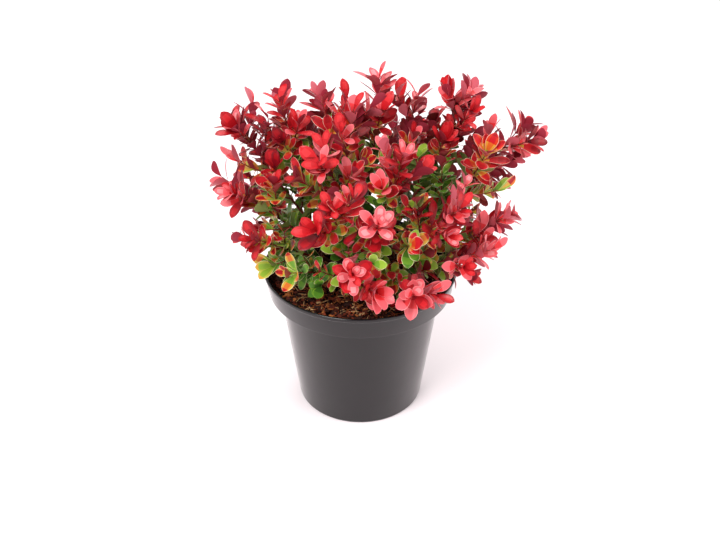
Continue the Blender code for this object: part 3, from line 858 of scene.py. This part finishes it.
# How often each kind comes up, by how far along its shoot a spray stands
kinds_along_shoot = (
    (0.50, {"deep": 4, "green": 7, "lime": 5, "gold": 2, "tinged": 1}),
    (0.64, {"green": 5, "lime": 6, "gold": 4, "tinged": 4, "blotched": 3, "sunset": 1}),
    (0.75, {"lime": 2, "gold": 2, "tinged": 2, "blotched": 4, "sunset": 5, "ember": 4, "kindled": 3}),
    (0.84, {"sunset": 2, "ember": 3, "kindled": 4, "red": 4, "scarlet": 3, "dark": 2}),
    (0.93, {"red": 5, "scarlet": 5, "dark": 2, "young": 5, "kindled": 1}),
    (9.00, {"young": 7, "bright": 4, "scarlet": 4, "red": 2}),
)
# Shoots near the compost that have kept their green, and how much nearer to the foot their sprays count
green_shoots = {"front_left_low": 0.34, "left_low": 0.12, "front_left": 0.05, "left_side": 0.02}
# Shoots in the light that turn red further down, and how much nearer to the tip their sprays count
red_shoots = {
    "front_low": 0.16,
    "front_right_rim": 0.16,
    "front_right_low": 0.14,
    "front_right": 0.08,
    "right_low": 0.10,
}


def kind_for(along_shoot):
    """A kind of leaf, drawn from those that grow that far along a shoot."""
    table = next(kinds for limit, kinds in kinds_along_shoot if along_shoot < limit)
    return chance.choices(list(table), list(table.values()))[0]


def half_width(v):
    """The leaf's half width along its length, as a share of its greatest: a wedge with a rounded end."""
    wedge, end = v**wedge_power, max(0.0, 1 - v**end_power) ** end_fullness
    return leaf_base_share + (1 - leaf_base_share) * wedge * end / leaf_peak


leaf_rows = {name: [] for name in lines}
near_cells = {}


def cell_of(point):
    """The cube that a point lies in, of a grid that makes near points quick to find."""
    return tuple(int(c // leaf_gap) for c in point)


def crowded(point):
    """True if another leaf's middle lies too close to this one's."""
    home = cell_of(point)
    for dx in (-1, 0, 1):
        for dy in (-1, 0, 1):
            for dz in (-1, 0, 1):
                for other in near_cells.get((home[0] + dx, home[1] + dy, home[2] + dz), ()):
                    if (other - point).length < leaf_gap:
                        return True
    return False


def add_leaf(name, root, along, up, length, kind, slim):
    """One leaf's row of sizes and directions, if there is room for the leaf."""
    middle, tip = root + along * length * leaf_middle, root + along * length
    if crowded(middle) or not in_space(name, middle) or not in_space(name, tip):
        return
    near_cells.setdefault(cell_of(middle), []).append(middle)
    side = along.cross(up).normalized()
    width = length * chance.uniform(*leaf_width_shares) * slim
    fold, droop = chance.uniform(*leaf_folds), chance.uniform(*leaf_droops)
    leaf_rows[name].append((root, along, side, side.cross(along), length, width, fold, droop, kind))


for name in lines:
    for at, axis, turn, along_shoot, is_tip in reversed(sprays[name]):
        along_shoot += red_shoots.get(name, 0) - green_shoots.get(name, 0)
        young = along_shoot > young_from
        spray_kind = kind_for(along_shoot + chance.gauss(0, along_scatter))
        count = chance.randint(*(leaves_at_tip if is_tip else leaves_at_joint))
        size = chance.uniform(*leaf_lengths) * (young_length if young else 1.0)
        for i in range(count):
            angle = turn + tau * i / count + chance.uniform(-turn_scatter, turn_scatter)
            if is_tip:
                spread = radians(chance.uniform(*tip_spreads))
            else:
                spread = radians(chance.uniform(*joint_spreads) - upright_to_tip * along_shoot)
            along = (axis * cos(spread) + perpendicular(axis, angle) * sin(spread)).normalized()
            kind = spray_kind if chance.random() < same_kind else kind_for(along_shoot)
            length = size * chance.uniform(*leaf_size_spread)
            add_leaf(name, at, along, axis, length, kind, young_width if young else 1.0)

columns, rows = len(leaf_shape_columns), len(leaf_shape_rows)
across = np.array([u * half_width(v) for v in leaf_shape_rows for u in leaf_shape_columns] + [0.0] * rows)
along_leaf = np.array([v for v in leaf_shape_rows for _ in leaf_shape_columns] + list(leaf_shape_rows))
share = np.array([u for _ in leaf_shape_rows for u in leaf_shape_columns] + [0.0] * rows)
under = np.array([0.0] * (rows * columns) + [1.0] * rows) * np.sin(np.pi * along_leaf) ** 0.5
# Each face's place in its kind's row of colours: four along the leaf, two rows of faces to each
beside_zones, margin_zone, underside_zone = 4, 8, 9
leaf_faces, leaf_zones = [], []
for row in range(rows - 1):
    for column in range(columns - 1):
        a = row * columns + column
        leaf_faces.append((a, a + 1, a + columns + 1, a + columns))
        beside = beside_zones if column in (1, columns - 3) else 0
        leaf_zones.append(margin_zone if column in (0, columns - 2) else row // 2 + beside)
    left, right, spine = row * columns, row * columns + columns - 1, rows * columns + row
    leaf_faces.append((left, left + columns, spine + 1, spine))
    leaf_faces.append((spine, spine + 1, right + columns, right))
    leaf_zones += [underside_zone, underside_zone]
leaf_faces, leaf_zones = np.array(leaf_faces), np.array(leaf_zones)
colour_index = {name: i for i, name in enumerate(leaf_colours)}
kind_slots = {kind: np.array([colour_index[c] for c in zones.split()]) for kind, zones in leaf_kinds.items()}

leaf_materials = []
for name, colour in leaf_colours.items():
    # A leaf's thin waxy skin: satin, softly uneven over its veins, one plain colour for each zone
    made, tree, shader, place = new_material(f"Waxy leaf skin {name.replace('_', ' ')}", colour, 0.34, 1.45)
    shader.inputs["Specular IOR Level"].default_value = 0.35
    veins = add_node(tree, "ShaderNodeTexNoise", {"Vector": place, "Scale": vein_scale, "Detail": 3.0})
    bump = add_node(tree, "ShaderNodeBump", {"Height": veins.outputs["Fac"], "Strength": 0.35})
    bump.inputs["Distance"].default_value = 0.0003
    tree.links.new(bump.outputs["Normal"], shader.inputs["Normal"])
    leaf_materials.append(made)


def leaf_mesh(name, leaves):
    """One mesh of many leaves, each with its own size, fold and droop."""
    root, along, side, face_up = (np.array([leaf[n] for leaf in leaves])[:, None, :] for n in range(4))
    length, width, fold, droop = (np.array([leaf[n] for leaf in leaves])[:, None] for n in range(4, 8))
    x = across * width / 2
    y = along_leaf * length
    crease = np.abs(across) * width / 2 * fold + leaf_puff * width * (np.abs(share) - share**2)
    z = crease - droop * length * along_leaf**2 + leaf_arch * length * along_leaf * (1 - along_leaf)
    z = z - under * leaf_depth
    points = root + x[..., None] * side + y[..., None] * along + z[..., None] * face_up
    offsets = np.arange(len(leaves))[:, None, None] * across.size
    faces = (leaf_faces[None] + offsets).reshape(-1, 4)
    made = bpy.data.meshes.new(name)
    made.from_pydata(points.reshape(-1, 3).tolist(), [], faces.tolist())
    slots = np.concatenate([kind_slots[leaf[8]][leaf_zones] for leaf in leaves])
    made.polygons.foreach_set("material_index", slots.astype(np.int32))
    made.shade_smooth()
    made.set_sharp_from_angle(angle=leaf_sharp_angle)
    return made


for ring, slot in (("inner", "coral_leaf"), ("middle", "red_leaf"), ("outer", "green_leaf")):
    names = [name for name in lines if ring_of[name] == ring]
    half = (len(names) + 1) // 2
    for part, group in enumerate((names[:half], names[half:]), 1):
        leaves = [leaf for name in group for leaf in leaf_rows[name]]
        piece_name = f"leaves_{ring}_{part}"
        piece = link_mesh(piece_name, leaf_mesh(piece_name, leaves), leaf_materials)
        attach(piece, "root")
        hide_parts(*(f"foliage_{name}" for name in group))

# Studio
# A wide pale floor under an even white sky, and three large soft lights, so shadows are faint and the leaves
# keep their own colours. A dark card in front, seen only in reflections, keeps some of the shine down.

floor_colour, card_colour, sky_colour = "#F9EFF1", "#050505", "#FFFFFF"
floor_half, floor_drop = 4.0, 0.0002
card_place, card_scale = (0, -1.6, 0.9), (0.9, 2.0, 1)
sky_strength = 0.85
aim_height = 0.2
# Place, side in metres and power in watts
lights = {
    "key": ((-0.7, -0.9, 1.6), 0.8, 24),
    "fill": ((1.1, -0.6, 1.2), 1.0, 10),
    "back": ((0.2, 1.3, 1.5), 1.2, 10),
}

# Matt white background paper
floor_mesh = bpy.data.meshes.new("studio_floor")
floor_shape = bmesh.new()
bmesh.ops.create_grid(floor_shape, x_segments=8, y_segments=8, size=floor_half)
floor_shape.to_mesh(floor_mesh)
floor_shape.free()
paper = new_material("White paper", floor_colour, 0.9, 1.45)[0]
studio_floor = link_mesh("studio_floor", floor_mesh, [paper])
studio_floor.location.z = -floor_drop

card_mesh = bpy.data.meshes.new("dark_card")
card_shape = bmesh.new()
bmesh.ops.create_grid(card_shape, x_segments=1, y_segments=1, size=0.5)
card_shape.to_mesh(card_mesh)
card_shape.free()
# Felt, with no shine at all
black_felt = new_material("Black felt", card_colour, 1.0, 1.3)[0]
card = link_mesh("dark_card", card_mesh, [black_felt])
card.location = card_place
card.rotation_euler = (radians(90), 0, 0)
card.scale = card_scale
card.visible_camera = card.visible_diffuse = card.visible_shadow = False

world = bpy.data.worlds.new("studio")
bpy.context.scene.world = world
world.use_nodes = True
world.node_tree.nodes["Background"].inputs["Color"].default_value = hex_colour(sky_colour)
world.node_tree.nodes["Background"].inputs["Strength"].default_value = sky_strength
for name, (location, size, power) in lights.items():
    light_data = bpy.data.lights.new(name, "AREA")
    light_data.shape = "SQUARE"
    light_data.size = size
    light_data.energy = power
    light = bpy.data.objects.new(name, light_data)
    bpy.context.scene.collection.objects.link(light)
    light.location = location
    towards = Vector((0, 0, aim_height)) - Vector(location)
    light.rotation_euler = towards.to_track_quat("-Z", "Y").to_euler()

# Camera
# It looks at the pot's rim from 32 degrees above and 0.9 m away, as the photograph does, in a frame of 720 by
# 541 pixels. The rim's middle falls on the pixel that is named here.

frame_width, frame_height = 720, 541
focal_pixels = 915
sensor_width = 36.0
camera_distance = 0.900
camera_elevation = radians(32.3)
rim_pixel = (360.3, 263.5)
camera_data = bpy.data.cameras.new("camera")
camera_data.sensor_width = sensor_width
camera_data.lens = focal_pixels / frame_width * sensor_width
camera_data.shift_x = (frame_width / 2 - rim_pixel[0]) / frame_width
camera_data.shift_y = (rim_pixel[1] - frame_height / 2) / frame_width
camera = bpy.data.objects.new("camera", camera_data)
bpy.context.scene.collection.objects.link(camera)
back_off = Vector((0, -cos(camera_elevation), sin(camera_elevation))) * camera_distance
camera.location = Vector((0, 0, pot_height)) + back_off
camera.rotation_euler = (pi / 2 - camera_elevation, 0, 0)
bpy.context.scene.camera = camera
bpy.context.scene.view_settings.view_transform = "Standard"
